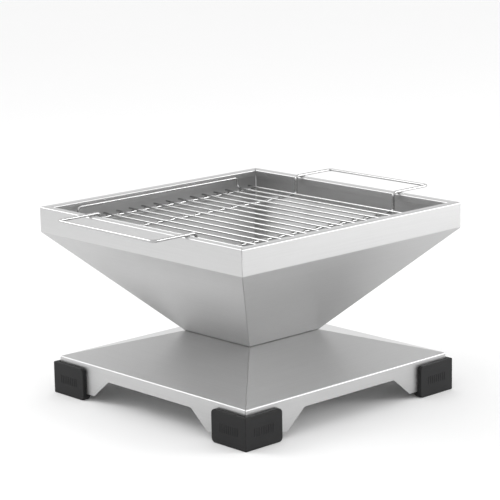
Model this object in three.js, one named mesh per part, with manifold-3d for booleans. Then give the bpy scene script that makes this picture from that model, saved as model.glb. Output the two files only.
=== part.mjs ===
// Square fire pit: a folded sheet-steel bowl bolted to a folded sheet-steel base on rubber feet,
// with a lift-out wire grate that hangs on the bowl's rim by its two handles.
// Millimetres, +Z up. The origin is on the ground under the middle of the bowl.
// The grate's bars run along X, and its handles reach out over the front (-Y) and back (+Y) rims.
import * as THREE from "three";
import { mergeVertices } from "three/addons/utils/BufferGeometryUtils.js";
import { ConvexGeometry } from "three/addons/geometries/ConvexGeometry.js";
import Module from "manifold-3d";

// ---------------------------------------------------------------- driving dimensions

// Sheet metal
const SHEET = 1.2; // thickness of the bowl's and the base's sheet
const FOLD_INSIDE_RADIUS = 1.4; // inside radius of a press-brake fold
const GAP = 0.3; // between two pieces that touch
const SEAM = 0.4; // between two panels along a mitred corner

// Bowl
const RIM_WIDTH = 400; // across the outside of the rim
const RIM_HEIGHT = 260; // ground to the top of the rim
const BAND_HEIGHT = 35; // upright band below the rim
const NECK_WIDTH = 129; // across the neck, where bowl and base meet
const NECK_HEIGHT = 86; // ground to the joint between bowl and base
const LEDGE_WIDTH = 11.5; // outside of the rim to the inner face of its return
const RETURN_DEPTH = 10; // how far the rim's inner edge turns back down
const STRIP_WIDTH = 20; // strip welded inside each corner, behind the seam
const STRIP_END_SETBACK = 14; // from the neck and from the band to the ends of a corner strip

// Base
const BASE_WIDTH = 372; // across the outside of the skirt
const SKIRT_TOP = 51.4; // ground to the fold between slope and skirt
const SKIRT_BOTTOM = 8.5; // ground to the lower edge of the skirt
const LEG_WIDTH = 72; // skirt left standing beside each corner, at its lower edge
const ARCH_TOP = 34; // ground to the top of the cut-out between two legs
const ARCH_SLANT = 31; // how much further in the cut-out starts at its top
const ARCH_RADIUS = 6; // upper corners of the cut-out

// Neck joint
const FLANGE_WIDTH = 19; // flange turned in from each panel at the neck
const FLOOR_THICKNESS = 2; // plate that closes the bowl at the neck
const FLOOR_CLEARANCE = 2; // from the neck's outline to the floor plate's edge
const DRAIN_DIAMETER = 8;
const DRAIN_PITCH = 24;
const DRAINS_PER_ROW = 3;
const SCREW_DIAMETER = 6;
const HOLE_CLEARANCE = 0.35; // around a screw's shank
const HEAD_DIAMETER = 10.5;
const HEAD_HEIGHT = 3.3;
const SOCKET_WIDTH = 4; // across the flats of the hexagon socket
const SOCKET_DEPTH = 2;
const WASHER_DIAMETER = 12;
const WASHER_THICKNESS = 1.6;
const NUT_WIDTH = 10; // across the flats
const NUT_HEIGHT = 5;
const SCREW_END = 1.5; // screw standing out below its nut
const SCREW_CHAMFER = 0.8; // at the screw's lower end
const HEAD_DOME = 0.75; // part of a quarter turn that the head's rounded side takes

// Rubber feet
const FOOT_LENGTH = 64; // along each side, from the outer corner
const FOOT_HEIGHT = 44;
const FOOT_WALL = 6.5; // rubber outside the skirt
const FOOT_LIP = 4.5; // rubber inside the skirt
const FOOT_LIP_HEIGHT = 24; // ground to the top of the inner lip
const FOOT_END_RADIUS = 6; // free ends, seen from the side
const FOOT_CORNER_RADIUS = 1.6; // upper and lower edge at the outer corner
const FOOT_EDGE = 1.2; // rounding of every other edge

// Grate
const BAR_WIRE = 3; // diameter of the bars and of the rail ring
const FRAME_WIRE = 4; // diameter of the handle loop and of the end cross wires
const ROWS = 16; // rows of bars, two of which belong to the rail ring
const RING_ROW = 1; // row that the ring takes, counted from the outermost one as 0
const ROW_EDGE = 29.75; // outside of the rim to the outermost row
const BAR_END = 15; // outside of the rim to the bars' ends
const GRATE_DROP = 21.5; // top of the rim down to the middle of the bars
const RAIL_RISE = 15; // middle of the bars up to the middle of the ring's raised rails
const CROSS_INSET = 8; // bars' ends to the end cross wires
const CROSS_OVERHANG = 2; // end cross wire past the outermost bar's middle
const RISER_SETBACK = 19.5; // outside of the rim to the middle of a handle's risers
const HANDLE_REACH = 70; // risers to the handle's grip, middle to middle
const HANDLE_WIDTH = 190; // between the handle's two arms, middle to middle
const WIRE_BEND = 5.5; // radius of a wire's bends, at its middle
const WELD_OVERLAP = 0.5; // half of a wire loop past its middle, where its halves are welded

// Fineness of round shapes
const SHEET_BEND_STEPS = 4;
const WIRE_BEND_STEPS = 5;
const WIRE_SIDES = 12;
const ROUND_SIDES = 24;
const HEAD_STEPS = 5;
const FOOT_EDGE_STEPS = 3;
const SAME_POINT = 1e-6; // points closer than this are one
const MERGE_DISTANCE = 1e-4; // between the corners of two faces that join

// ---------------------------------------------------------------- worked-out places

const rimHalf = RIM_WIDTH / 2;
const neckHalf = NECK_WIDTH / 2;
const baseHalf = BASE_WIDTH / 2;
const bandFoot = RIM_HEIGHT - BAND_HEIGHT;
const flangeEnd = neckHalf - FLANGE_WIDTH;
const bowlFlangeBottom = NECK_HEIGHT + GAP / 2;
const baseFlangeTop = NECK_HEIGHT - GAP / 2;
const floorBottom = bowlFlangeBottom + SHEET + GAP;
const screwSeat = floorBottom + FLOOR_THICKNESS + GAP;
const washerTop = baseFlangeTop - SHEET - GAP;
const nutTop = washerTop - WASHER_THICKNESS - GAP;
const screwRadius = neckHalf - FLANGE_WIDTH / 2; // from the middle of the neck to each screw
const holeRadius = SCREW_DIAMETER / 2 + HOLE_CLEARANCE;
const footOuter = baseHalf + GAP + FOOT_WALL;
const footThickness = FOOT_WALL + GAP + SHEET + GAP + FOOT_LIP;
const barZ = RIM_HEIGHT - GRATE_DROP;
const railZ = barZ + RAIL_RISE;
const crossZ = barZ - BAR_WIRE / 2 - GAP - FRAME_WIRE / 2;
const armZ = RIM_HEIGHT + GAP + FRAME_WIRE / 2;
const rowHalf = rimHalf - ROW_EDGE;
const rowPitch = (2 * rowHalf) / (ROWS - 1);
const ringHalfY = rowHalf - RING_ROW * rowPitch;
const barHalf = rimHalf - BAR_END;
const riserY = rimHalf - RISER_SETBACK;
const gripY = riserY + HANDLE_REACH;
const FAR = 2 * Math.max(RIM_WIDTH, BASE_WIDTH, RIM_HEIGHT); // beyond every face

// ---------------------------------------------------------------- materials

const steel = new THREE.MeshStandardMaterial({ color: 0xc8c8c8, roughness: 0.38, metalness: 1 });
const innerSteel = new THREE.MeshStandardMaterial({ color: 0xa8a8a8, roughness: 0.45, metalness: 1 });
const wireSteel = new THREE.MeshStandardMaterial({ color: 0xd8d8d8, roughness: 0.2, metalness: 1 });
const fastenerSteel = new THREE.MeshStandardMaterial({ color: 0xb8b8b8, roughness: 0.3, metalness: 1 });
const rubber = new THREE.MeshStandardMaterial({ color: 0x2c2c2c, roughness: 0.8, metalness: 0 });

// ---------------------------------------------------------------- joining and cutting

const manifold = await Module();
manifold.setup();

function toSolid(geometry) {
  const bare = geometry.clone();
  bare.deleteAttribute("normal");
  bare.deleteAttribute("uv");
  const merged = mergeVertices(bare, MERGE_DISTANCE);
  return new manifold.Manifold(
    new manifold.Mesh({
      numProp: 3,
      vertProperties: merged.attributes.position.array,
      triVerts: new Uint32Array(merged.index.array),
    }),
  );
}

function toGeometry(solid) {
  const mesh = solid.getMesh();
  const geometry = new THREE.BufferGeometry();
  geometry.setAttribute("position", new THREE.BufferAttribute(mesh.vertProperties, 3));
  geometry.setIndex(new THREE.BufferAttribute(mesh.triVerts, 1));
  geometry.computeVertexNormals();
  return geometry;
}

// ---------------------------------------------------------------- shared shapes

// A line through corners, each rounded to its own radius: a list of points with their directions.
function roundedLine(corners, radii, steps) {
  const stations = [];
  const last = corners.length - 1;
  const add = (point, tangent) => {
    const previous = stations[stations.length - 1];
    if (!previous || previous.point.distanceTo(point) > SAME_POINT) stations.push({ point, tangent });
  };
  const direction = (i) => corners[i + 1].clone().sub(corners[i]).normalize();
  add(corners[0].clone(), direction(0));
  for (let i = 1; i < last; i++) {
    const into = direction(i - 1);
    const out = direction(i);
    const turn = into.angleTo(out);
    const side = out.clone().addScaledVector(into, -into.dot(out)).normalize();
    const start = corners[i].clone().addScaledVector(into, -radii[i] * Math.tan(turn / 2));
    const centre = start.clone().addScaledVector(side, radii[i]);
    for (let step = 0; step <= steps; step++) {
      const angle = (turn * step) / steps;
      const point = centre.clone();
      point.addScaledVector(side, -radii[i] * Math.cos(angle));
      point.addScaledVector(into, radii[i] * Math.sin(angle));
      const tangent = into.clone().multiplyScalar(Math.cos(angle));
      tangent.addScaledVector(side, Math.sin(angle));
      add(point, tangent);
    }
  }
  add(corners[last].clone(), direction(last - 1));
  return stations;
}

function shapeOf(points) {
  return new THREE.Shape(points.map((p) => new THREE.Vector2(p.x, p.y)));
}

// The section of a folded sheet. face is the line of its outer face, side is +1 where the metal
// lies to the left of that line and -1 where it lies to the right, and every fold closes
// towards the metal's side. insideRadii has one radius for each point, unused at both ends.
function foldedSection(face, side, insideRadii) {
  const corners = face.map(([x, y]) => new THREE.Vector3(x, y, 0));
  const normals = corners.slice(1).map((corner, i) => {
    const along = corner.clone().sub(corners[i]).normalize();
    return new THREE.Vector3(-along.y * side, along.x * side, 0);
  });
  const backCorners = corners.map((corner, i) => {
    const a = normals[Math.max(i - 1, 0)];
    const b = normals[Math.min(i, normals.length - 1)];
    const mitre = a.clone().add(b).divideScalar(1 + a.dot(b));
    return corner.clone().addScaledVector(mitre, SHEET);
  });
  const outsideRadii = insideRadii.map((radius) => radius + SHEET);
  const front = roundedLine(corners, outsideRadii, SHEET_BEND_STEPS);
  const back = roundedLine(backCorners, insideRadii, SHEET_BEND_STEPS);
  return shapeOf([...front, ...back.reverse()].map((station) => station.point));
}

// Stands a section up on the +X side, with its own x reaching out and its own y up, and mitres
// it to the corners of the square.
function mitredPanel(section) {
  const strip = new THREE.ExtrudeGeometry(section, { depth: FAR, bevelEnabled: false });
  strip.translate(0, 0, -FAR / 2);
  strip.rotateX(Math.PI / 2);
  const setback = SEAM / Math.SQRT2;
  const wedgeOutline = [
    new THREE.Vector2(setback, 0),
    new THREE.Vector2(FAR / 2 + setback, -FAR / 2),
    new THREE.Vector2(FAR / 2 + setback, FAR / 2),
  ];
  const wedge = new THREE.ExtrudeGeometry(shapeOf(wedgeOutline), { depth: FAR, bevelEnabled: false });
  return toSolid(strip).intersect(toSolid(wedge));
}

function uprightCylinder(radius, bottom, top, sides = ROUND_SIDES) {
  const geometry = new THREE.CylinderGeometry(radius, radius, top - bottom, sides);
  geometry.rotateX(Math.PI / 2);
  geometry.translate(0, 0, (top + bottom) / 2);
  return geometry;
}

function block(low, high) {
  const size = high.map((value, i) => value - low[i]);
  const geometry = new THREE.BoxGeometry(...size);
  geometry.translate(...low.map((value, i) => value + size[i] / 2));
  return geometry;
}

// ---------------------------------------------------------------- bowl

const slope = new THREE.Vector2(rimHalf - neckHalf, bandFoot - bowlFlangeBottom).normalize();

function bowlSection() {
  const face = [
    [flangeEnd, bowlFlangeBottom],
    [neckHalf, bowlFlangeBottom],
    [rimHalf, bandFoot],
    [rimHalf, RIM_HEIGHT],
    [rimHalf - LEDGE_WIDTH, RIM_HEIGHT],
    [rimHalf - LEDGE_WIDTH, RIM_HEIGHT - RETURN_DEPTH],
  ];
  const folds = face.length - 2;
  return foldedSection(face, 1, [0, ...Array(folds).fill(FOLD_INSIDE_RADIUS), 0]);
}

// The strip inside the corner of +X and the side of ySign. It lies on the inner face of the
// front or back panel. along runs up the corner line, across leads away from it in that face,
// and off leads away from the face into the bowl.
function cornerStrip(ySign) {
  const along = new THREE.Vector3(slope.x, slope.x, slope.y).normalize();
  const off = new THREE.Vector3(0, -slope.y, slope.x);
  const across = off.clone().cross(along).normalize();
  const cornerAt = (z) => {
    const out = neckHalf + ((z - bowlFlangeBottom) * slope.x - SHEET) / slope.y;
    return new THREE.Vector3(out, out, z);
  };
  const ends = [cornerAt(bowlFlangeBottom + STRIP_END_SETBACK), cornerAt(bandFoot - STRIP_END_SETBACK)];
  const points = [];
  for (const end of ends) {
    for (const reach of [GAP, STRIP_WIDTH]) {
      for (const lift of [GAP, GAP + SHEET]) {
        const point = end.clone().addScaledVector(across, reach).addScaledVector(off, lift);
        point.y *= ySign;
        points.push(point);
      }
    }
  }
  return toGeometry(toSolid(new ConvexGeometry(points)));
}

function screwHole() {
  return toSolid(uprightCylinder(holeRadius, 0, RIM_HEIGHT).translate(screwRadius, 0, 0));
}

function bowlPanel() {
  return toGeometry(mitredPanel(bowlSection()).subtract(screwHole()));
}

function bowlFloor() {
  const half = neckHalf - FLOOR_CLEARANCE;
  const low = [-half, -half, floorBottom];
  const high = [half, half, floorBottom + FLOOR_THICKNESS];
  let solid = toSolid(block(low, high));
  const drainAt = (i) => (i - (DRAINS_PER_ROW - 1) / 2) * DRAIN_PITCH;
  for (let row = 0; row < DRAINS_PER_ROW; row++) {
    for (let column = 0; column < DRAINS_PER_ROW; column++) {
      const drain = uprightCylinder(DRAIN_DIAMETER / 2, 0, RIM_HEIGHT);
      solid = solid.subtract(toSolid(drain.translate(drainAt(row), drainAt(column), 0)));
    }
  }
  for (let quarter = 0; quarter < 4; quarter++) {
    const hole = uprightCylinder(holeRadius, 0, RIM_HEIGHT).translate(screwRadius, 0, 0);
    solid = solid.subtract(toSolid(hole.rotateZ((quarter * Math.PI) / 2)));
  }
  return toGeometry(solid);
}

// ---------------------------------------------------------------- base

function baseSection() {
  const face = [
    [flangeEnd, baseFlangeTop],
    [neckHalf, baseFlangeTop],
    [baseHalf, SKIRT_TOP],
    [baseHalf, SKIRT_BOTTOM],
  ];
  return foldedSection(face, -1, [0, FOLD_INSIDE_RADIUS, FOLD_INSIDE_RADIUS, 0]);
}

// The cut-out between two legs, as a prism through the skirt on the +X side.
function archCutter() {
  const footHalf = baseHalf - LEG_WIDTH;
  const topHalf = footHalf - ARCH_SLANT;
  const slantPerDrop = ARCH_SLANT / (ARCH_TOP - SKIRT_BOTTOM);
  const bottomHalf = footHalf + SKIRT_BOTTOM * slantPerDrop;
  const corners = [
    new THREE.Vector3(bottomHalf, 0, 0),
    new THREE.Vector3(topHalf, ARCH_TOP, 0),
    new THREE.Vector3(-topHalf, ARCH_TOP, 0),
    new THREE.Vector3(-bottomHalf, 0, 0),
  ];
  const outline = roundedLine(corners, [0, ARCH_RADIUS, ARCH_RADIUS, 0], SHEET_BEND_STEPS);
  const depth = FAR / 2;
  const prism = new THREE.ExtrudeGeometry(shapeOf(outline.map((station) => station.point)), {
    depth,
    bevelEnabled: false,
  });
  prism.rotateX(Math.PI / 2);
  prism.rotateZ(Math.PI / 2);
  return toSolid(prism);
}

function basePanel() {
  return toGeometry(mitredPanel(baseSection()).subtract(archCutter()).subtract(screwHole()));
}

// ---------------------------------------------------------------- rubber feet

// One arm of a foot, along X from its free end to the outer corner at the origin, with its outer
// face at y = 0 and its rubber on the +Y side.
function footArm() {
  const inset = FOOT_EDGE;
  const left = -FOOT_LENGTH + inset;
  const top = FOOT_HEIGHT - inset;
  const end = FOOT_END_RADIUS - inset;
  const corner = FOOT_CORNER_RADIUS - inset;
  const start = (left - inset) / 2;
  const corners = [
    new THREE.Vector3(start, inset, 0),
    new THREE.Vector3(-inset, inset, 0),
    new THREE.Vector3(-inset, top, 0),
    new THREE.Vector3(left, top, 0),
    new THREE.Vector3(left, inset, 0),
    new THREE.Vector3(start, inset, 0),
  ];
  const outline = roundedLine(corners, [0, corner, corner, end, end, 0], SHEET_BEND_STEPS);
  outline.pop();
  const arm = new THREE.ExtrudeGeometry(shapeOf(outline.map((station) => station.point)), {
    depth: footThickness - 2 * FOOT_EDGE,
    bevelThickness: FOOT_EDGE,
    bevelSize: FOOT_EDGE,
    bevelSegments: FOOT_EDGE_STEPS,
  });
  arm.rotateX(Math.PI / 2);
  arm.translate(0, footThickness - FOOT_EDGE, 0);
  return arm;
}

// The foot at the (+X, -Y) corner, with a slot that takes the skirt's lower edge.
function foot() {
  const armAlongX = footArm();
  const armAlongY = footArm().rotateZ(-Math.PI / 2).translate(-footThickness, 0, 0);
  let solid = toSolid(armAlongX).add(toSolid(armAlongY));
  const slotInner = FOOT_WALL + GAP + SHEET + GAP;
  const slotBottom = SKIRT_BOTTOM - GAP;
  const cutters = [
    block([-FAR, FOOT_WALL, slotBottom], [-FOOT_WALL, slotInner, FAR]),
    block([-slotInner, FOOT_WALL, slotBottom], [-FOOT_WALL, FAR, FAR]),
    block([-FAR, FOOT_WALL, FOOT_LIP_HEIGHT], [-FOOT_WALL, FAR, FAR]),
  ];
  for (const cutter of cutters) solid = solid.subtract(toSolid(cutter));
  return toGeometry(solid).translate(footOuter, -footOuter, 0);
}

// ---------------------------------------------------------------- fasteners at the neck

function screw() {
  const shank = SCREW_DIAMETER / 2;
  const head = HEAD_DIAMETER / 2;
  const end = nutTop - NUT_HEIGHT - SCREW_END;
  const profile = [
    new THREE.Vector2(0, end),
    new THREE.Vector2(shank - SCREW_CHAMFER, end),
    new THREE.Vector2(shank, end + SCREW_CHAMFER),
    new THREE.Vector2(shank, screwSeat),
  ];
  for (let step = 0; step <= HEAD_STEPS; step++) {
    const angle = (step / HEAD_STEPS) * (Math.PI / 2) * HEAD_DOME;
    profile.push(new THREE.Vector2(head * Math.cos(angle), screwSeat + HEAD_HEIGHT * Math.sin(angle)));
  }
  const top = profile[profile.length - 1].y;
  profile.push(new THREE.Vector2(0, top));
  const body = new THREE.LatheGeometry(profile, ROUND_SIDES).rotateX(Math.PI / 2);
  const socketRadius = SOCKET_WIDTH / 2 / Math.cos(Math.PI / 6);
  const socket = uprightCylinder(socketRadius, top - SOCKET_DEPTH, top + SOCKET_DEPTH, 6);
  return toGeometry(toSolid(body).subtract(toSolid(socket)));
}

function washer() {
  const outside = toSolid(uprightCylinder(WASHER_DIAMETER / 2, washerTop - WASHER_THICKNESS, washerTop));
  return toGeometry(outside.subtract(toSolid(uprightCylinder(holeRadius, 0, RIM_HEIGHT))));
}

function nut() {
  const cornerRadius = NUT_WIDTH / 2 / Math.cos(Math.PI / 6);
  const hexagon = toSolid(uprightCylinder(cornerRadius, nutTop - NUT_HEIGHT, nutTop, 6));
  return toGeometry(hexagon.subtract(toSolid(uprightCylinder(holeRadius, 0, RIM_HEIGHT))));
}

// ---------------------------------------------------------------- grate wires

// A wire's centreline: straight runs joined by round bends. Its stations lie at the ends of each
// run and along each bend, so a long run costs no more faces than a short one.
class WirePath extends THREE.Curve {
  constructor(corners) {
    super();
    const points = corners.map((corner) => new THREE.Vector3(...corner));
    this.stations = roundedLine(points, corners.map(() => WIRE_BEND), WIRE_BEND_STEPS);
    this.steps = this.stations.length - 1;
  }

  getPoint(t, target = new THREE.Vector3()) {
    return target.copy(this.stations[Math.round(t * this.steps)].point);
  }

  getPointAt(t, target) {
    return this.getPoint(t, target);
  }

  getTangentAt(t, target = new THREE.Vector3()) {
    return target.copy(this.stations[Math.round(t * this.steps)].tangent);
  }
}

function bentWire(corners, diameter) {
  const outline = [];
  for (let i = 0; i < WIRE_SIDES; i++) {
    const angle = (i / WIRE_SIDES) * 2 * Math.PI;
    outline.push(new THREE.Vector2((diameter / 2) * Math.cos(angle), (diameter / 2) * Math.sin(angle)));
  }
  const path = new WirePath(corners);
  return new THREE.ExtrudeGeometry(new THREE.Shape(outline), { steps: path.steps, extrudePath: path });
}

// A closed loop of wire from its half, which runs a little past the middle at both ends and is
// joined there to a copy of itself turned half round.
function closedLoop(halfCorners, diameter) {
  const half = bentWire(halfCorners, diameter);
  const otherHalf = half.clone().rotateZ(Math.PI);
  return toGeometry(toSolid(half).add(toSolid(otherHalf)));
}

// Two rows of the grate and the raised rail at each end, as one wire.
function railRing() {
  const right = [
    [-WELD_OVERLAP, -ringHalfY, barZ],
    [barHalf - BAR_WIRE / 2, -ringHalfY, barZ],
    [barHalf - BAR_WIRE / 2, -ringHalfY, railZ],
    [barHalf - BAR_WIRE / 2, ringHalfY, railZ],
    [barHalf - BAR_WIRE / 2, ringHalfY, barZ],
    [-WELD_OVERLAP, ringHalfY, barZ],
  ];
  return closedLoop(right, BAR_WIRE);
}

// The two inner cross wires, which turn up outside the bars and on over the rim as the handles.
function handleLoop() {
  const arm = HANDLE_WIDTH / 2;
  const back = [
    [arm, -WELD_OVERLAP, crossZ],
    [arm, riserY, crossZ],
    [arm, riserY, armZ],
    [arm, gripY, armZ],
    [-arm, gripY, armZ],
    [-arm, riserY, armZ],
    [-arm, riserY, crossZ],
    [-arm, -WELD_OVERLAP, crossZ],
  ];
  return closedLoop(back, FRAME_WIRE);
}

function straightWire(diameter, length) {
  return new THREE.CylinderGeometry(diameter / 2, diameter / 2, length, WIRE_SIDES);
}

// ---------------------------------------------------------------- assembly

const firePit = new THREE.Group();

function place(parent, name, geometry, material, turn = 0) {
  const mesh = new THREE.Mesh(geometry, material);
  mesh.name = name;
  mesh.rotation.z = turn;
  parent.add(mesh);
  return mesh;
}

const SIDES = ["right", "back", "left", "front"]; // +X, +Y, -X, -Y
const CORNERS = ["front_right", "back_right", "back_left", "front_left"];

function addBowlAndBase() {
  const bowl = bowlPanel();
  const base = basePanel();
  const screwGeometry = screw();
  const washerGeometry = washer();
  const nutGeometry = nut();
  SIDES.forEach((side, i) => {
    const turn = (i * Math.PI) / 2;
    place(firePit, "bowl_panel_" + side, bowl, steel, turn);
    place(firePit, "base_panel_" + side, base, steel, turn);
    const joint = new THREE.Group();
    joint.position.set(screwRadius * Math.cos(turn), screwRadius * Math.sin(turn), 0);
    place(joint, "neck_screw_" + side, screwGeometry, fastenerSteel);
    place(joint, "neck_washer_" + side, washerGeometry, fastenerSteel);
    place(joint, "neck_nut_" + side, nutGeometry, fastenerSteel);
    firePit.add(joint);
  });
  for (const [depth, ySign] of [["front", -1], ["back", 1]]) {
    // The strip beside the right panel, and for the opposite corner the same strip turned round.
    const strip = cornerStrip(ySign);
    const opposite = depth === "front" ? "back" : "front";
    place(firePit, "corner_strip_" + depth + "_right", strip, innerSteel);
    place(firePit, "corner_strip_" + opposite + "_left", strip, innerSteel, Math.PI);
  }
  place(firePit, "bowl_floor", bowlFloor(), innerSteel);
}

function addFeet() {
  const geometry = foot();
  CORNERS.forEach((corner, i) => place(firePit, "foot_" + corner, geometry, rubber, (i * Math.PI) / 2));
}

function addGrate() {
  const grate = new THREE.Group();
  const bar = straightWire(BAR_WIRE, 2 * barHalf).rotateZ(Math.PI / 2);
  let number = 0;
  for (let row = 0; row < ROWS; row++) {
    if (row === RING_ROW || row === ROWS - 1 - RING_ROW) continue;
    number += 1;
    const mesh = place(grate, "grate_bar_" + String(number).padStart(2, "0"), bar, wireSteel);
    mesh.position.set(0, row * rowPitch - rowHalf, barZ);
  }
  const crossWire = straightWire(FRAME_WIRE, 2 * (rowHalf + CROSS_OVERHANG));
  for (const [side, sign] of [["left", -1], ["right", 1]]) {
    const mesh = place(grate, "grate_cross_wire_" + side, crossWire, wireSteel);
    mesh.position.set(sign * (barHalf - CROSS_INSET), 0, crossZ);
  }
  place(grate, "grate_rail_ring", railRing(), wireSteel);
  place(grate, "grate_handle_loop", handleLoop(), wireSteel);
  firePit.add(grate);
}

addBowlAndBase();
addFeet();
addGrate();

export default firePit;
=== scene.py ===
import random
from math import atan2, cos, pi, radians, sin, sqrt, tan

import bmesh
import bpy
from mathutils import Matrix, Vector


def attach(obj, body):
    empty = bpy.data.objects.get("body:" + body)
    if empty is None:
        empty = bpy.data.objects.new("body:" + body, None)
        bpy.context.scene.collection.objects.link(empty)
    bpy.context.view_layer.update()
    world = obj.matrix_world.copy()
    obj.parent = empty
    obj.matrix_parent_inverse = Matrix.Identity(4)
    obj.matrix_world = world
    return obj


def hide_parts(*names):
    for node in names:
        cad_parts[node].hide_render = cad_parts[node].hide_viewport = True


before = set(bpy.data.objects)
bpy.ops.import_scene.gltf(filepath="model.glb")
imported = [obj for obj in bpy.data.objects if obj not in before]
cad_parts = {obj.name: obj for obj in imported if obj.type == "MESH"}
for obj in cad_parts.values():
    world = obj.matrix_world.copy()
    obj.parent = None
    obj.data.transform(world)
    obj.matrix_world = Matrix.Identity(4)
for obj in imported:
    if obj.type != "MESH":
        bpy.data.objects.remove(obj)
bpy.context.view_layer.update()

MM = 0.001
QUARTER = pi / 2

# ---------------------------------------------------------------- sizes, in millimetres

SHEET = 1.2
FOLD_INSIDE_RADIUS = 1.4
FOLD_STEPS = 8
GAP = 0.3
SEAM = 0.4
SHEET_EDGE = 0.25  # rounding of the sheet's cut edges

RIM_WIDTH = 400
RIM_HEIGHT = 260
BAND_HEIGHT = 35
NECK_WIDTH = 129
NECK_HEIGHT = 86
LEDGE_WIDTH = 11.5
RETURN_DEPTH = 10
STRIP_WIDTH = 20
STRIP_END_SETBACK = 14

BASE_WIDTH = 372
SKIRT_TOP = 51.4
SKIRT_BOTTOM = 8.5
LEG_WIDTH = 72
ARCH_TOP = 34
ARCH_SLANT = 31
ARCH_RADIUS = 6

FLANGE_WIDTH = 19
FLOOR_THICKNESS = 2
FLOOR_CLEARANCE = 2
FLOOR_EDGE = 0.35
DRAIN_DIAMETER = 8
DRAIN_PITCH = 24
DRAINS_PER_ROW = 3
SCREW_DIAMETER = 6
THREAD_PITCH = 1
THREAD_DEPTH = 0.55
HOLE_CLEARANCE = 0.35
HEAD_DIAMETER = 10.5
HEAD_HEIGHT = 3.3
HEAD_FLAT = 5.1  # across the flat on top of the domed head
SOCKET_WIDTH = 4
SOCKET_DEPTH = 2
WASHER_DIAMETER = 12
WASHER_THICKNESS = 1.6
WASHER_EDGE = 0.3
NUT_WIDTH = 10
NUT_HEIGHT = 5
NUT_CHAMFER = radians(28)
SCREW_END = 1.5
SCREW_CHAMFER = 0.8
HEAD_STEPS = 8
THREAD_STEPS = 6  # rings of corners in one turn of the thread
SOCKET_POINT = 1.2  # depth of the drilled point, in socket depths
SOCKET_TIP = SOCKET_WIDTH / 8  # radius of the small flat at that point
NUT_FACE = 0.97  # flat ring on a nut's end, as a part of its width
NUT_BORE_CHAMFER = 0.5

FOOT_LENGTH = 64
FOOT_HEIGHT = 44
FOOT_WALL = 6.5
FOOT_LIP = 4.5
FOOT_LIP_HEIGHT = 24
FOOT_END_RADIUS = 6
FOOT_EDGE = 1.3
RIBS = 9
RIB_PITCH = 4
RIB_WIDTH = 1.9
RIB_HEIGHT = 11
RIB_RISE = 0.45  # proud of the foot's face
RIB_SUNK = 0.8  # inside the foot
RIB_ROUNDING = 0.9  # radius of a rib's edges, as a part of its rise

BAR_WIRE = 3
FRAME_WIRE = 4
WIRE_END = 0.45  # chamfer at a wire's cut ends
ROWS = 16
RING_ROW = 1
ROW_EDGE = 29.75
BAR_END = 15
GRATE_DROP = 21.5
RAIL_RISE = 15
CROSS_INSET = 8
CROSS_OVERHANG = 2
RISER_SETBACK = 19.5
HANDLE_REACH = 70
HANDLE_WIDTH = 190
WIRE_BEND = 5.5
WIRE_BEND_STEPS = 10
WELD_LENGTH = 1.9  # half of a bead along a bar
WELD_WIDTH = 1.75  # half of a bead along the wire below
WELD_HEIGHT = 1.25  # half of a bead upwards
WELD_DRIFT = 0.15  # furthest that a bead lies off its crossing
WELD_SEED = 5
WIRE_SIDES = 24
ROUND_SIDES = 48
SAME_POINT = 0.001
SAME_PLANE = radians(0.05)

rim_half = RIM_WIDTH / 2
neck_half = NECK_WIDTH / 2
base_half = BASE_WIDTH / 2
band_foot = RIM_HEIGHT - BAND_HEIGHT
flange_end = neck_half - FLANGE_WIDTH
bowl_flange_bottom = NECK_HEIGHT + GAP / 2
base_flange_top = NECK_HEIGHT - GAP / 2
floor_bottom = bowl_flange_bottom + SHEET + GAP
screw_seat = floor_bottom + FLOOR_THICKNESS + GAP
washer_top = base_flange_top - SHEET - GAP
nut_top = washer_top - WASHER_THICKNESS - GAP
screw_radius = neck_half - FLANGE_WIDTH / 2
hole_radius = SCREW_DIAMETER / 2 + HOLE_CLEARANCE
foot_outer = base_half + GAP + FOOT_WALL
foot_thickness = FOOT_WALL + GAP + SHEET + GAP + FOOT_LIP
bar_z = RIM_HEIGHT - GRATE_DROP
rail_z = bar_z + RAIL_RISE
cross_z = bar_z - BAR_WIRE / 2 - GAP - FRAME_WIRE / 2
arm_z = RIM_HEIGHT + GAP + FRAME_WIRE / 2
row_half = rim_half - ROW_EDGE
row_pitch = 2 * row_half / (ROWS - 1)
ring_half_y = row_half - RING_ROW * row_pitch
bar_half = rim_half - BAR_END
rail_x = bar_half - BAR_WIRE / 2
end_cross_x = bar_half - CROSS_INSET
riser_y = rim_half - RISER_SETBACK
grip_y = riser_y + HANDLE_REACH

SIDES = ("right", "back", "left", "front")
CORNERS = ("front_right", "back_right", "back_left", "front_left")

# ---------------------------------------------------------------- materials

BRUSHED_ACROSS = 0.25  # of a turn: the sheet's shine spreads across its grain


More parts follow.
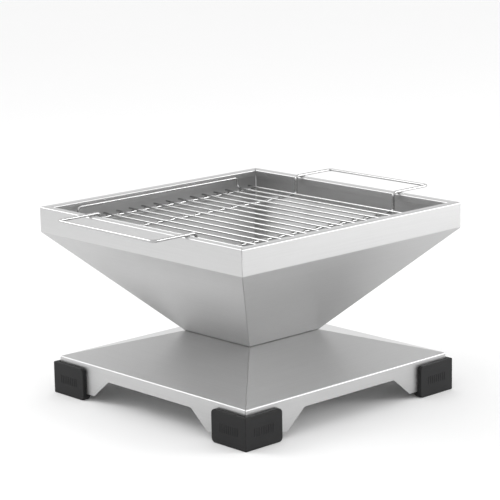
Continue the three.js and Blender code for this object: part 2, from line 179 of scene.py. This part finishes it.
class Nodes:
    """A material's node tree, with short calls for the nodes used here."""

    def __init__(self, name):
        self.material = bpy.data.materials.new(name)
        self.material.use_nodes = True
        self.tree = self.material.node_tree
        self.shader = self.tree.nodes["Principled BSDF"]

    def add(self, kind, **settings):
        node = self.tree.nodes.new(kind)
        for key, value in settings.items():
            setattr(node, key, value)
        return node

    def join(self, source, target):
        self.tree.links.new(source, target)

    def place(self, scale, turn=(0, 0, 0)):
        """The object's own coordinates, stretched."""
        coordinates = self.add("ShaderNodeTexCoord")
        mapping = self.add("ShaderNodeMapping")
        mapping.inputs["Scale"].default_value = scale
        mapping.inputs["Rotation"].default_value = turn
        self.join(coordinates.outputs["Object"], mapping.inputs["Vector"])
        return mapping.outputs["Vector"]

    def noise(self, scale, detail=3.0, roughness=0.55, turn=(0, 0, 0)):
        noise = self.add("ShaderNodeTexNoise")
        noise.inputs["Scale"].default_value = 1.0
        noise.inputs["Detail"].default_value = detail
        noise.inputs["Roughness"].default_value = roughness
        self.join(self.place(scale, turn), noise.inputs["Vector"])
        return noise.outputs["Fac"]

    def spread(self, source, low, high, start=0.3, end=0.7):
        """A value from low to high as the source goes from start to end."""
        spread = self.add("ShaderNodeMapRange")
        for name, value in (("From Min", start), ("From Max", end), ("To Min", low), ("To Max", high)):
            spread.inputs[name].default_value = value
        self.join(source, spread.inputs["Value"])
        return spread.outputs["Result"]

    def both(self, first, second, operation="ADD"):
        node = self.add("ShaderNodeMath", operation=operation)
        self.join(first, node.inputs[0])
        self.join(second, node.inputs[1])
        return node.outputs["Value"]

    def blend(self, factor, low, high):
        mix = self.add("ShaderNodeMix", data_type="RGBA")
        mix.inputs[6].default_value = (*low, 1)
        mix.inputs[7].default_value = (*high, 1)
        self.join(factor, mix.inputs["Factor"])
        return mix.outputs[2]

    def bump(self, height, distance, normal=None):
        bump = self.add("ShaderNodeBump")
        bump.inputs["Distance"].default_value = distance
        self.join(height, bump.inputs["Height"])
        if normal:
            self.join(normal, bump.inputs["Normal"])
        return bump.outputs["Normal"]


def steel(name, dark, light, roughness, grain, grain_depth, wave=0.0, brushed=0.0):
    """Rolled or drawn steel: a grain stretched along one axis, soft clouds and faint scuffs."""
    nodes = Nodes(name)
    shader = nodes.shader
    shader.inputs["Metallic"].default_value = 1.0
    if brushed:
        shader.inputs["Anisotropic"].default_value = brushed
        tangent = nodes.add("ShaderNodeTangent", direction_type="RADIAL", axis="Y")
        nodes.join(tangent.outputs["Tangent"], shader.inputs["Tangent"])
        shader.inputs["Anisotropic Rotation"].default_value = BRUSHED_ACROSS
    lines = nodes.noise(grain, detail=5.0, roughness=0.6)
    clouds = nodes.noise((9, 7, 9), detail=3.0)
    specks = nodes.noise((260, 230, 260), detail=2.0)
    scuffs = nodes.noise((70, 900, 70), detail=2.0, turn=(0.3, 0.2, 0.6))
    tone = nodes.both(nodes.spread(lines, 0.0, 0.5), nodes.spread(clouds, 0.0, 0.5))
    nodes.join(nodes.blend(tone, dark, light), shader.inputs["Base Color"])
    low, high = roughness
    span = high - low
    rough = nodes.both(nodes.spread(lines, low, low + span * 0.5), nodes.spread(clouds, 0.0, span * 0.5))
    marks = nodes.spread(scuffs, 0.0, span * 0.7, 0.68, 0.8)
    rough = nodes.both(rough, marks)
    rough = nodes.both(rough, nodes.spread(specks, 0.0, span * 0.3))
    nodes.join(rough, shader.inputs["Roughness"])
    normal = nodes.bump(lines, grain_depth)
    if wave:
        normal = nodes.bump(nodes.noise((5.5, 3.5, 5.5), detail=1.0), wave, normal)
    nodes.join(normal, shader.inputs["Normal"])
    return nodes.material


def rubber(name):
    """Moulded rubber: a fine skin, slightly shinier where it has been touched."""
    nodes = Nodes(name)
    shader = nodes.shader
    skin = nodes.noise((1900, 1900, 1900), detail=3.0)
    clouds = nodes.noise((45, 45, 45), detail=3.0)
    dust = nodes.spread(nodes.noise((420, 420, 420), detail=4.0), 0.0, 1.0, 0.55, 0.75)
    tone = nodes.both(nodes.spread(clouds, 0.0, 0.6), nodes.spread(dust, 0.0, 0.4, 0, 1))
    nodes.join(nodes.blend(tone, (0.009, 0.009, 0.0095), (0.020, 0.020, 0.0205)), shader.inputs["Base Color"])
    rough = nodes.both(nodes.spread(clouds, 0.5, 0.62), nodes.spread(skin, 0.0, 0.08))
    nodes.join(rough, shader.inputs["Roughness"])
    shader.inputs["Specular IOR Level"].default_value = 0.28
    nodes.join(nodes.bump(skin, 0.00006), shader.inputs["Normal"])
    return nodes.material


def paper_floor(name):
    nodes = Nodes(name)
    shader = nodes.shader
    clouds = nodes.noise((1.5, 1.5, 1.5), detail=2.0)
    nodes.join(nodes.blend(clouds, (0.93, 0.93, 0.93), (0.94, 0.94, 0.94)), shader.inputs["Base Color"])
    shader.inputs["Roughness"].default_value = 0.9
    shader.inputs["Specular IOR Level"].default_value = 0.2
    return nodes.material


sheet_steel = steel(
    "satin_sheet_steel", (0.54, 0.54, 0.54), (0.61, 0.61, 0.61), (0.32, 0.44), (420, 7, 420), 0.000012,
    wave=0.0006, brushed=0.7
)
wire_steel = steel(
    "bright_wire_steel", (0.40, 0.40, 0.40), (0.54, 0.54, 0.54), (0.10, 0.22), (300, 300, 300), 0.00001
)
weld_steel = steel(
    "welded_steel", (0.26, 0.25, 0.24), (0.48, 0.48, 0.48), (0.22, 0.45), (900, 900, 900), 0.00005
)
plate_steel = steel(
    "plate_steel", (0.50, 0.50, 0.50), (0.60, 0.60, 0.60), (0.34, 0.50), (500, 9, 500), 0.000015
)
fastener_steel = steel(
    "zinc_fastener_steel", (0.52, 0.53, 0.55), (0.70, 0.70, 0.70), (0.20, 0.38), (700, 700, 700), 0.00001
)
foot_rubber = rubber("black_foot_rubber")

# ---------------------------------------------------------------- mesh helpers


def bend(corner, into, out, radius, steps):
    """Stations (point, direction) round one corner of a line."""
    turn = into.angle(out)
    side = (out - into * into.dot(out)).normalized()
    start = corner - into * radius * tan(turn / 2)
    centre = start + side * radius
    stations = []
    for step in range(steps + 1):
        angle = turn * step / steps
        point = centre - side * radius * cos(angle) + into * radius * sin(angle)
        stations.append((point, into * cos(angle) + side * sin(angle)))
    return stations


def rounded_line(corners, radii, steps):
    corners = [Vector(corner) for corner in corners]
    ways = [(b - a).normalized() for a, b in zip(corners, corners[1:])]
    stations = [(corners[0], ways[0])]
    for i in range(1, len(corners) - 1):
        if radii[i]:
            stations += bend(corners[i], ways[i - 1], ways[i], radii[i], steps)
        else:
            stations.append((corners[i], ways[i]))
    return stations + [(corners[-1], ways[-1])]


def rounded_loop(corners, radius, steps):
    corners = [Vector(corner) for corner in corners]
    count = len(corners)
    ways = [(corners[(i + 1) % count] - corners[i]).normalized() for i in range(count)]
    stations = []
    for i in range(count):
        stations += bend(corners[i], ways[i - 1], ways[i], radius, steps)
    return stations


def bridge(bm, first, second, shift=0):
    count = len(first)
    for i in range(count):
        j = (i + 1) % count
        bm.faces.new((first[i], first[j], second[(j + shift) % count], second[(i + shift) % count]))


def closed(bm):
    bmesh.ops.recalc_face_normals(bm, faces=bm.faces)
    return bm


def prism(outline, vector):
    """A closed solid from a flat outline, drawn out along a vector."""
    bm = bmesh.new()
    near = [bm.verts.new(point) for point in outline]
    far = [bm.verts.new(Vector(point) + Vector(vector)) for point in outline]
    bridge(bm, near, far)
    bm.faces.new(near)
    bm.faces.new(far[::-1])
    return closed(bm)


def block(low, high):
    x0, y0, z0 = low
    x1, y1, z1 = high
    return prism([(x0, y0, z0), (x1, y0, z0), (x1, y1, z0), (x0, y1, z0)], (0, 0, z1 - z0))


def cylinder(radius, bottom, top, x=0.0, y=0.0):
    circle = []
    for i in range(ROUND_SIDES):
        angle = 2 * pi * i / ROUND_SIDES
        circle.append((x + radius * cos(angle), y + radius * sin(angle), bottom))
    return prism(circle, (0, 0, top - bottom))


def put(bm, name="work"):
    mesh = bpy.data.meshes.new(name)
    bm.to_mesh(mesh)
    bm.free()
    obj = bpy.data.objects.new(name, mesh)
    bpy.context.scene.collection.objects.link(obj)
    return obj


def combine(bm, other, operation):
    """A closed shape joined with another (UNION) or cut by it (DIFFERENCE)."""
    body = put(bm)
    tool = put(other)
    modifier = body.modifiers.new("combine", "BOOLEAN")
    modifier.operation = operation
    modifier.solver = "EXACT"
    modifier.object = tool
    bpy.context.view_layer.update()
    shown = body.evaluated_get(bpy.context.evaluated_depsgraph_get())
    result = bmesh.new()
    result.from_mesh(shown.to_mesh())
    shown.to_mesh_clear()
    for obj in (body, tool):
        mesh = obj.data
        bpy.data.objects.remove(obj)
        bpy.data.meshes.remove(mesh)
    bmesh.ops.remove_doubles(result, verts=result.verts, dist=SAME_POINT)
    bmesh.ops.dissolve_limit(
        result, angle_limit=SAME_PLANE, verts=result.verts, edges=result.edges,
        use_dissolve_boundaries=False,
    )
    return result


def round_edges(bm, radius, segments=2, least=radians(40)):
    """Rounds every outward edge that is sharper than the least angle."""
    edges = [edge for edge in bm.edges if len(edge.link_faces) == 2 and edge.calc_face_angle_signed() > least]
    bmesh.ops.bevel(
        bm, geom=edges, offset=radius, offset_type="OFFSET", segments=segments, profile=0.5,
        affect="EDGES", clamp_overlap=False,
    )
    return bm


def show(name, bm, material, body, nodes=(), turn=0.0, sharp=radians(38)):
    """Makes a shape a piece of the visual model, riding on its body in place of its CAD nodes."""
    bmesh.ops.scale(bm, vec=(MM, MM, MM), verts=bm.verts)
    for face in bm.faces:
        face.smooth = True
    for edge in bm.edges:
        edge.smooth = len(edge.link_faces) == 2 and edge.calc_face_angle() < sharp
    obj = put(bm, name)
    obj.data.materials.append(material)
    obj.rotation_euler.z = turn
    obj.modifiers.new("flat faces stay flat", "WEIGHTED_NORMAL").keep_sharp = True
    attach(obj, body)
    if nodes:
        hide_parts(*nodes)
    return obj


# ---------------------------------------------------------------- folded sheets


def folded_section(face, side, inside_radii):
    """The closed section of a folded sheet, from the line of its outer face in (x, z)."""
    corners = [Vector((x, 0, z)) for x, z in face]
    normals = []
    for a, b in zip(corners, corners[1:]):
        along = (b - a).normalized()
        normals.append(Vector((-along.z, 0, along.x)) * side)
    backs = []
    for i, corner in enumerate(corners):
        a = normals[max(i - 1, 0)]
        b = normals[min(i, len(normals) - 1)]
        backs.append(corner + (a + b) / (1 + a.dot(b)) * SHEET)
    front = rounded_line(corners, [radius and radius + SHEET for radius in inside_radii], FOLD_STEPS)
    back = rounded_line(backs, inside_radii, FOLD_STEPS)
    return [point for point, _ in front + back[::-1]]


def mitred_panel(section):
    """A folded sheet on the +X side, cut at 45 degrees along the corners of the square."""
    setback = SEAM / sqrt(2)
    bm = bmesh.new()
    ends = []
    for sign in (-1, 1):
        ends.append([bm.verts.new((p.x, sign * (p.x - setback), p.z)) for p in section])
    bridge(bm, *ends)
    bm.faces.new(ends[0])
    bm.faces.new(ends[1][::-1])
    return closed(bm)


def screw_hole():
    return cylinder(hole_radius, NECK_HEIGHT - SKIRT_BOTTOM, NECK_HEIGHT + SKIRT_BOTTOM, screw_radius)


def corner_strip(y_sign):
    """The narrow plate inside a corner, lying on the front or back panel beside the seam."""
    slope = Vector((rim_half - neck_half, band_foot - bowl_flange_bottom)).normalized()
    along = Vector((slope.x, slope.x, slope.y)).normalized()
    off = Vector((0, -slope.y, slope.x))
    across = off.cross(along).normalized()
    low_end = bowl_flange_bottom + STRIP_END_SETBACK
    high_end = band_foot - STRIP_END_SETBACK
    outline = []
    for z, reach in ((low_end, GAP), (low_end, STRIP_WIDTH), (high_end, STRIP_WIDTH), (high_end, GAP)):
        out = neck_half + ((z - bowl_flange_bottom) * slope.x - SHEET) / slope.y
        point = Vector((out, out, z)) + across * reach + off * GAP
        point.y *= y_sign
        outline.append(point)
    depth = off * SHEET
    depth.y *= y_sign
    return round_edges(prism(outline, depth), SHEET_EDGE)


def bowl_panel():
    face = [
        (flange_end, bowl_flange_bottom),
        (neck_half, bowl_flange_bottom),
        (rim_half, band_foot),
        (rim_half, RIM_HEIGHT),
        (rim_half - LEDGE_WIDTH, RIM_HEIGHT),
        (rim_half - LEDGE_WIDTH, RIM_HEIGHT - RETURN_DEPTH),
    ]
    folds = len(face) - 2
    panel = mitred_panel(folded_section(face, 1, [0] + [FOLD_INSIDE_RADIUS] * folds + [0]))
    return round_edges(combine(panel, screw_hole(), "DIFFERENCE"), SHEET_EDGE)


def base_panel():
    face = [
        (flange_end, base_flange_top),
        (neck_half, base_flange_top),
        (base_half, SKIRT_TOP),
        (base_half, SKIRT_BOTTOM),
    ]
    section = folded_section(face, -1, [0, FOLD_INSIDE_RADIUS, FOLD_INSIDE_RADIUS, 0])
    foot_half = base_half - LEG_WIDTH
    top_half = foot_half - ARCH_SLANT
    bottom_half = foot_half + SKIRT_BOTTOM * ARCH_SLANT / (ARCH_TOP - SKIRT_BOTTOM)
    corners = [(0, -bottom_half, 0), (0, -top_half, ARCH_TOP), (0, top_half, ARCH_TOP), (0, bottom_half, 0)]
    arch = rounded_line(corners, [0, ARCH_RADIUS, ARCH_RADIUS, 0], FOLD_STEPS)
    cutter = prism([point for point, _ in arch], (RIM_WIDTH, 0, 0))
    bm = combine(mitred_panel(section), cutter, "DIFFERENCE")
    return round_edges(combine(bm, screw_hole(), "DIFFERENCE"), SHEET_EDGE)


def floor_plate():
    half = neck_half - FLOOR_CLEARANCE
    top = floor_bottom + FLOOR_THICKNESS
    bm = block((-half, -half, floor_bottom), (half, half, top))
    below = floor_bottom - FLOOR_THICKNESS
    above = top + FLOOR_THICKNESS
    for row in range(DRAINS_PER_ROW):
        for column in range(DRAINS_PER_ROW):
            x, y = ((i - (DRAINS_PER_ROW - 1) / 2) * DRAIN_PITCH for i in (row, column))
            bm = combine(bm, cylinder(DRAIN_DIAMETER / 2, below, above, x, y), "DIFFERENCE")
    for side in range(4):
        x = screw_radius * cos(side * QUARTER)
        y = screw_radius * sin(side * QUARTER)
        bm = combine(bm, cylinder(hole_radius, below, above, x, y), "DIFFERENCE")
    return round_edges(bm, FLOOR_EDGE)


# ---------------------------------------------------------------- fasteners


def around(radius_at, z_at, bm, sides=ROUND_SIDES):
    ring = []
    for i in range(sides):
        angle = 2 * pi * i / sides
        radius = radius_at(angle)
        ring.append(bm.verts.new((radius * cos(angle), radius * sin(angle), z_at(angle, radius))))
    return ring


def hexagon(width):
    """The distance from the middle to the edge of a hexagon, by angle."""
    return lambda angle: width / 2 / cos((angle + pi / 6) % (pi / 3) - pi / 6)


def chain(bm, rings):
    for first, second in zip(rings, rings[1:]):
        bridge(bm, first, second)


def screw():
    bm = bmesh.new()
    shank = SCREW_DIAMETER / 2
    head = HEAD_DIAMETER / 2
    end = nut_top - NUT_HEIGHT - SCREW_END
    thread_top = nut_top - NUT_HEIGHT / 2
    rings = [around(lambda angle: shank - SCREW_CHAMFER, lambda angle, radius: end, bm)]
    steps = round((thread_top - end - SCREW_CHAMFER) / THREAD_PITCH * THREAD_STEPS)
    for step in range(steps + 1):
        z = end + SCREW_CHAMFER + step * THREAD_PITCH / THREAD_STEPS
        phase = 2 * pi * z / THREAD_PITCH
        ridge = lambda angle, phase=phase: shank - THREAD_DEPTH * (0.5 - 0.5 * cos(phase - angle))
        rings.append(around(ridge, lambda angle, radius, z=z: z, bm))
    rings.append(around(lambda angle: shank, lambda angle, radius: thread_top + THREAD_PITCH, bm))
    rings.append(around(lambda angle: shank, lambda angle, radius: screw_seat, bm))
    flat = HEAD_FLAT / 2
    for step in range(HEAD_STEPS + 1):
        share = step / HEAD_STEPS
        angle_up = share * atan2(sqrt(1 - (flat / head) ** 2), flat / head)
        radius_here = head * cos(angle_up)
        height = screw_seat + HEAD_HEIGHT * sin(angle_up)
        rings.append(around(lambda angle, r=radius_here: r, lambda angle, radius, z=height: z, bm))
    top = screw_seat + HEAD_HEIGHT * sqrt(1 - (flat / head) ** 2)
    mouth = hexagon(SOCKET_WIDTH)
    rings.append(around(mouth, lambda angle, radius: top, bm))
    rings.append(around(mouth, lambda angle, radius: top - SOCKET_DEPTH, bm))
    point = top - SOCKET_DEPTH * SOCKET_POINT
    rings.append(around(lambda angle: SOCKET_TIP, lambda angle, radius: point, bm))
    chain(bm, rings)
    bm.faces.new(rings[0])
    bm.faces.new(rings[-1])
    return closed(bm)


def washer():
    bm = bmesh.new()
    outer = WASHER_DIAMETER / 2
    bottom = washer_top - WASHER_THICKNESS
    profile = [
        (hole_radius, bottom + WASHER_EDGE), (hole_radius + WASHER_EDGE, bottom),
        (outer - WASHER_EDGE, bottom), (outer, bottom + WASHER_EDGE),
        (outer, washer_top - WASHER_EDGE), (outer - WASHER_EDGE, washer_top),
        (hole_radius + WASHER_EDGE, washer_top), (hole_radius, washer_top - WASHER_EDGE),
    ]
    rings = [around(lambda angle, r=r: r, lambda angle, radius, z=z: z, bm) for r, z in profile]
    chain(bm, rings + rings[:1])
    return closed(bm)


def nut():
    """A hexagon nut whose corners are turned off to a cone above and below."""
    bm = bmesh.new()
    bottom = nut_top - NUT_HEIGHT
    flat = NUT_WIDTH / 2 * NUT_FACE
    edge = hexagon(NUT_WIDTH)
    drop = tan(NUT_CHAMFER)
    bore = hole_radius + NUT_BORE_CHAMFER
    rings = [
        around(lambda angle: hole_radius, lambda angle, radius: bottom + NUT_BORE_CHAMFER, bm),
        around(lambda angle: bore, lambda angle, radius: bottom, bm),
        around(lambda angle: flat, lambda angle, radius: bottom, bm),
        around(edge, lambda angle, radius: bottom + (radius - flat) * drop, bm),
        around(edge, lambda angle, radius: nut_top - (radius - flat) * drop, bm),
        around(lambda angle: flat, lambda angle, radius: nut_top, bm),
        around(lambda angle: bore, lambda angle, radius: nut_top, bm),
        around(lambda angle: hole_radius, lambda angle, radius: nut_top - NUT_BORE_CHAMFER, bm),
    ]
    chain(bm, rings + rings[:1])
    return closed(bm)


# ---------------------------------------------------------------- rubber feet


def foot():
    """The foot at the (+X, -Y) corner, with a slot that takes the skirt's lower edge."""
    corners = [
        (0, 0, 0), (-FOOT_LENGTH, 0, 0), (-FOOT_LENGTH, 0, FOOT_HEIGHT), (0, 0, FOOT_HEIGHT),
    ]
    outline = rounded_line(corners, [0, FOOT_END_RADIUS, FOOT_END_RADIUS, 0], FOLD_STEPS)
    outline = [point for point, _ in outline]
    along_x = prism(outline, (0, foot_thickness, 0))
    turned = [Vector((0, -point.x, point.z)) for point in outline]
    along_y = prism(turned, (-foot_thickness, 0, 0))
    bm = combine(along_x, along_y, "UNION")
    slot_inner = FOOT_WALL + GAP + SHEET + GAP
    slot_bottom = SKIRT_BOTTOM - GAP
    far = RIM_WIDTH
    for low, high in (
        ((-far, FOOT_WALL, slot_bottom), (-FOOT_WALL, slot_inner, far)),
        ((-slot_inner, FOOT_WALL, slot_bottom), (-FOOT_WALL, far, far)),
        ((-far, FOOT_WALL, FOOT_LIP_HEIGHT), (-FOOT_WALL, far, far)),
    ):
        bm = combine(bm, block(low, high), "DIFFERENCE")
    round_edges(bm, FOOT_EDGE, segments=3)
    middle_z = FOOT_HEIGHT / 2
    for i in range(RIBS):
        middle = -FOOT_LENGTH / 2 + (i - (RIBS - 1) / 2) * RIB_PITCH
        for turned in (False, True):
            rib = raised_rib()
            rib_turn = Matrix.Rotation(-QUARTER if turned else 0, 4, "Z")
            spot = Vector((0, -middle, middle_z)) if turned else Vector((middle, 0, middle_z))
            flip = Matrix.Scale(-1, 4, (1, 0, 0)) if turned else Matrix.Identity(4)
            rib.transform(Matrix.Translation(spot) @ flip @ rib_turn)
            rib_mesh = bpy.data.meshes.new("rib")
            closed(rib).to_mesh(rib_mesh)
            rib.free()
            bm.from_mesh(rib_mesh)
            bpy.data.meshes.remove(rib_mesh)
    bmesh.ops.translate(bm, vec=(foot_outer, -foot_outer, 0), verts=bm.verts)
    return bm


def raised_rib():
    """A short upright rib on a foot's outer face, which looks towards -Y."""
    low = (-RIB_WIDTH / 2, -RIB_RISE, -RIB_HEIGHT / 2)
    high = (RIB_WIDTH / 2, RIB_SUNK, RIB_HEIGHT / 2)
    return round_edges(block(low, high), RIB_RISE * RIB_ROUNDING, segments=3)


# ---------------------------------------------------------------- wires


def wire(stations, radius, loop=False):
    """A round wire along stations, closed on itself or with chamfered ends."""
    if not loop:
        first, way = stations[0]
        last, last_way = stations[-1]
        rows = [(first, way, radius - WIRE_END), (first + way * WIRE_END, way, radius)]
        rows += [(point, here, radius) for point, here in stations[1:-1]]
        rows += [(last - last_way * WIRE_END, last_way, radius), (last, last_way, radius - WIRE_END)]
    else:
        rows = [(point, here, radius) for point, here in stations]
    bm = bmesh.new()
    rings = []
    start = normal = rows[0][1].orthogonal().normalized()
    previous = rows[0][1]
    for point, way, here in rows:
        normal = previous.rotation_difference(way) @ normal
        previous = way
        other = way.cross(normal)
        ring = []
        for i in range(WIRE_SIDES):
            angle = 2 * pi * i / WIRE_SIDES
            ring.append(bm.verts.new(point + (normal * cos(angle) + other * sin(angle)) * here))
        rings.append(ring)
    chain(bm, rings)
    if loop:
        way = rows[0][1]
        normal = previous.rotation_difference(way) @ normal
        twist = atan2(way.dot(start.cross(normal)), start.dot(normal))
        bridge(bm, rings[-1], rings[0], round(twist * WIRE_SIDES / (2 * pi)))
    else:
        bm.faces.new(rings[0])
        bm.faces.new(rings[-1])
    return closed(bm)


def straight(start, end, diameter):
    start, end = Vector(start), Vector(end)
    way = (end - start).normalized()
    return wire([(start, way), (end, way)], diameter / 2)


def rail_ring():
    corners = []
    rise = (bar_z, rail_z)
    for sign in (1, -1):
        for y_sign, heights in ((-sign, rise), (sign, rise[::-1])):
            for z in heights:
                corners.append((sign * rail_x, y_sign * ring_half_y, z))
    return wire(rounded_loop(corners, WIRE_BEND, WIRE_BEND_STEPS), BAR_WIRE / 2, loop=True)


def handle_loop():
    arm = HANDLE_WIDTH / 2
    corners = []
    for sign in (1, -1):
        corners += [
            (sign * arm, sign * riser_y, cross_z), (sign * arm, sign * riser_y, arm_z),
            (sign * arm, sign * grip_y, arm_z), (-sign * arm, sign * grip_y, arm_z),
            (-sign * arm, sign * riser_y, arm_z), (-sign * arm, sign * riser_y, cross_z),
        ]
    return wire(rounded_loop(corners, WIRE_BEND, WIRE_BEND_STEPS), FRAME_WIRE / 2, loop=True)


def welds():
    """A small bead where each row crosses each of the four wires below it."""
    bm = bmesh.new()
    vary = random.Random(WELD_SEED)
    contact = cross_z + FRAME_WIRE / 2 + GAP / 2
    for row in range(ROWS):
        y = row * row_pitch - row_half
        for x in (-end_cross_x, -HANDLE_WIDTH / 2, HANDLE_WIDTH / 2, end_cross_x):
            length = WELD_LENGTH * vary.uniform(0.9, 1.15)
            width = WELD_WIDTH * vary.uniform(0.9, 1.15)
            height = WELD_HEIGHT * vary.uniform(0.9, 1.1)
            off_x = vary.uniform(-WELD_DRIFT, WELD_DRIFT)
            off_y = vary.uniform(-WELD_DRIFT, WELD_DRIFT)
            spot = Vector((x + off_x, y + off_y, contact))
            place = Matrix.Translation(spot) @ Matrix.Diagonal((length, width, height, 1))
            bmesh.ops.create_icosphere(bm, subdivisions=2, radius=1.0, matrix=place)
    return bm


# ---------------------------------------------------------------- the assembly


def build_pit():
    for i, side in enumerate(SIDES):
        turn = i * QUARTER
        node = "bowl_panel_" + side
        show("bowl_sheet_" + side, bowl_panel(), sheet_steel, "pit", [node], turn)
        node = "base_panel_" + side
        show("base_sheet_" + side, base_panel(), sheet_steel, "pit", [node], turn)
        spot = Vector((screw_radius * cos(turn), screw_radius * sin(turn), 0))
        for name, node, shape in (
            ("button_screw_", "neck_screw_", screw()),
            ("flat_washer_", "neck_washer_", washer()),
            ("hex_nut_", "neck_nut_", nut()),
        ):
            bmesh.ops.translate(shape, vec=spot, verts=shape.verts)
            show(name + side, shape, fastener_steel, "pit", [node + side])
    show("floor_plate", floor_plate(), plate_steel, "pit", ["bowl_floor"])
    for corner, y_sign, turn in (
        ("front_right", -1, 0), ("back_left", -1, pi), ("back_right", 1, 0), ("front_left", 1, pi),
    ):
        node = "corner_strip_" + corner
        show("seam_strip_" + corner, corner_strip(y_sign), plate_steel, "pit", [node], turn)
    for i, corner in enumerate(CORNERS):
        node = "foot_" + corner
        show("rubber_foot_" + corner, foot(), foot_rubber, "pit", [node], i * QUARTER)


def build_grate():
    ring_rows = (RING_ROW, ROWS - 1 - RING_ROW)
    rows = [row for row in range(ROWS) if row not in ring_rows]
    for number, row in enumerate(rows, 1):
        y = row * row_pitch - row_half
        shape = straight((-bar_half, y, bar_z), (bar_half, y, bar_z), BAR_WIRE)
        show(f"wire_bar_{number:02d}", shape, wire_steel, "grate", [f"grate_bar_{number:02d}"])
    reach = row_half + CROSS_OVERHANG
    for side, sign in (("left", -1), ("right", 1)):
        x = sign * end_cross_x
        shape = straight((x, -reach, cross_z), (x, reach, cross_z), FRAME_WIRE)
        show("wire_cross_" + side, shape, wire_steel, "grate", ["grate_cross_wire_" + side])
    show("wire_ring", rail_ring(), wire_steel, "grate", ["grate_rail_ring"])
    show("wire_handles", handle_loop(), wire_steel, "grate", ["grate_handle_loop"])
    show("wire_welds", welds(), weld_steel, "grate")


# ---------------------------------------------------------------- stage, light and camera

CAMERA_AZIMUTH = radians(47.09)  # from the front (-Y) towards the right (+X)
CAMERA_ELEVATION = radians(12.36)
CAMERA_ROLL = radians(-1.03)
CAMERA_DISTANCE = 2.712
CAMERA_AIM = Vector((0, 0, 0.12))
CAMERA_RIGHT = -0.0004
CAMERA_UP = 0.0752
CAMERA_LENS = 143.86
CAMERA_SENSOR = 36
FLOOR_HALF = 30  # metres from the middle to the floor's edge


def add_camera():
    azimuth, elevation, roll = CAMERA_AZIMUTH, CAMERA_ELEVATION, CAMERA_ROLL
    back = Vector((sin(azimuth) * cos(elevation), -cos(azimuth) * cos(elevation), sin(elevation)))
    right = Vector((cos(azimuth), sin(azimuth), 0))
    up = back.cross(right)
    data = bpy.data.cameras.new("camera")
    data.lens = CAMERA_LENS
    data.sensor_width = CAMERA_SENSOR
    data.clip_end = 100
    camera = bpy.data.objects.new("camera", data)
    bpy.context.scene.collection.objects.link(camera)
    axes = Matrix((right * cos(roll) + up * sin(roll), up * cos(roll) - right * sin(roll), back)).transposed()
    place = CAMERA_AIM + back * CAMERA_DISTANCE + right * CAMERA_RIGHT + up * CAMERA_UP
    camera.matrix_world = Matrix.Translation(place) @ axes.to_4x4()
    bpy.context.scene.camera = camera


def add_floor():
    bm = bmesh.new()
    bmesh.ops.create_grid(bm, x_segments=8, y_segments=8, size=FLOOR_HALF)
    floor = put(bm, "floor")
    floor.data.materials.append(paper_floor("pale_floor"))


def add_light(name, place, aim, width, height, power):
    data = bpy.data.lights.new(name, "AREA")
    data.shape = "RECTANGLE"
    data.size = width
    data.size_y = height
    data.energy = power
    light = bpy.data.objects.new(name, data)
    bpy.context.scene.collection.objects.link(light)
    light.location = place
    light.rotation_euler = (Vector(aim) - Vector(place)).to_track_quat("-Z", "Y").to_euler()
    return light


def add_lights():
    """A large soft key from the front left, and two washes on the floor that the sheet mirrors."""
    add_light("soft_key", (-1.8, -1.3, 1.8), (0, 0, 0.1), 1.4, 1.4, 10)
    add_light("front_wash", (-0.9, -0.85, 0.9), (-0.4, -0.45, 0), 0.5, 0.5, 3)
    add_light("floor_wash", (2.5, 2.4, 1.1), (2.3, 2.2, 0), 1.6, 1.6, 75)


def add_world():
    world = bpy.data.worlds.new("studio")
    world.use_nodes = True
    bpy.context.scene.world = world
    background = world.node_tree.nodes["Background"]
    background.inputs["Color"].default_value = (1, 1, 1, 1)
    background.inputs["Strength"].default_value = 1.0


build_pit()
build_grate()
add_floor()
add_lights()
add_world()
add_camera()
bpy.context.scene.view_settings.view_transform = "Standard"
